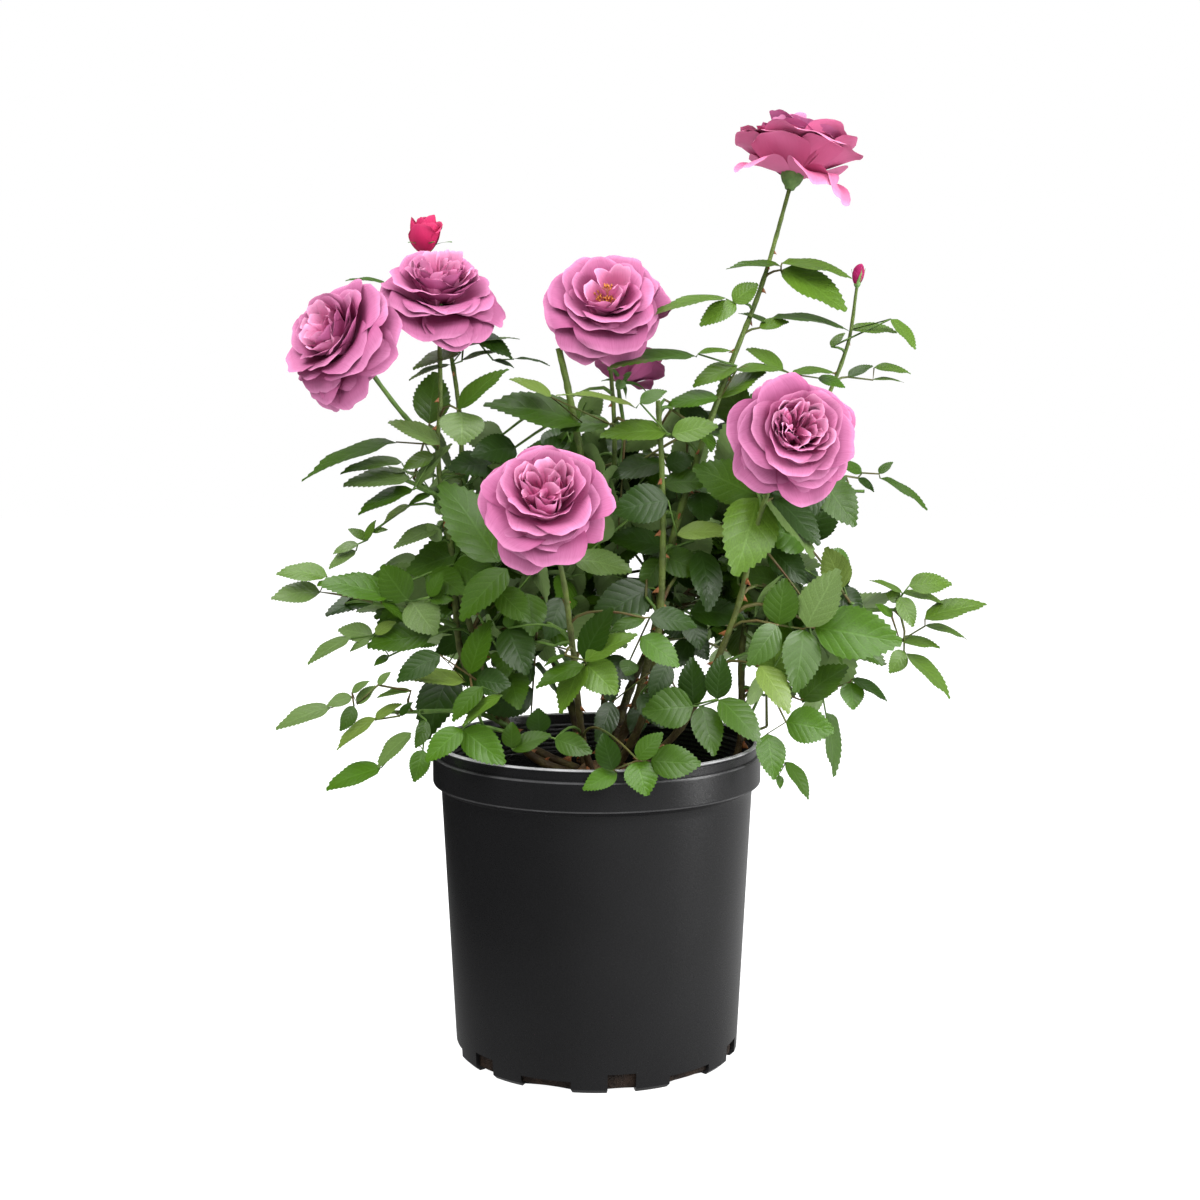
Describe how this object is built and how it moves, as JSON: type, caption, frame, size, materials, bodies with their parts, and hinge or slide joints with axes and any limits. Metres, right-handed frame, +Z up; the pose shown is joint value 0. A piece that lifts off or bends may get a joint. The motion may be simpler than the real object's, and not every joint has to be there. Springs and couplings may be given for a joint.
{
  "type": "potted rose bush",
  "caption": "Rose bush in bloom with double mauve-pink flowers, serrated compound leaves and thorny canes, growing in a round black nursery pot.",
  "frame": {"origin": "middle of the flat underside of the pot", "axes": "+Z up, -Y towards the side that the bush is seen from, +X to the right of that view"},
  "size_m": [0.52, 0.3657, 0.6852],
  "materials": {
    "pot_plastic": "satin",
    "potting_mix": "matte",
    "cane_bark": "matte",
    "green_shoot": "satin",
    "leaf": "satin",
    "petal": "matte",
    "bud_petal": "matte"
  },
  "bodies": {
    "root": {"bloom_centre": "petal", "bloom_front": "petal", "bloom_half_open": "petal", "bloom_left": "petal", "bloom_right": "petal", "bloom_top": "petal", "bloom_upper_left": "petal", "bough_front_left": "green_shoot", "bough_half_open": "green_shoot", "bough_left_bloom": "green_shoot", "bough_left_low": "green_shoot", "bough_left_mid": "green_shoot", "bough_left_upper": "green_shoot", "bough_pruned": "green_shoot", "bough_right_mid": "green_shoot", "bough_right_spray": "green_shoot", "bud_left": "bud_petal", "bud_right": "bud_petal", "cane_back_left": "cane_bark", "cane_back_right": "cane_bark", "cane_centre": "cane_bark", "cane_front": "cane_bark", "cane_left_inner": "cane_bark", "cane_left_outer": "cane_bark", "cane_middle": "cane_bark", "cane_right": "cane_bark", "cane_right_front": "cane_bark", "cane_tall": "cane_bark", "foliage_back_centre": "leaf", "foliage_back_left": "leaf", "foliage_back_right": "leaf", "foliage_centre": "leaf", "foliage_centre_left": "leaf", "foliage_centre_top": "leaf", "foliage_centre_upper": "leaf", "foliage_front": "leaf", "foliage_front_left": "leaf", "foliage_front_low": "leaf", "foliage_inner_left": "leaf", "foliage_left_low": "leaf", "foliage_left_mid": "leaf", "foliage_left_top": "leaf", "foliage_left_upper": "leaf", "foliage_right": "leaf", "foliage_right_bud": "leaf", "foliage_right_inner": "leaf", "foliage_right_low": "leaf", "foliage_right_mid": "leaf", "foliage_right_spray": "leaf", "foliage_right_upper": "leaf", "foliage_top_right": "leaf", "pot": "pot_plastic", "potting_mix": "potting_mix", "rootstock": "cane_bark"}
  },
  "joints": []
}
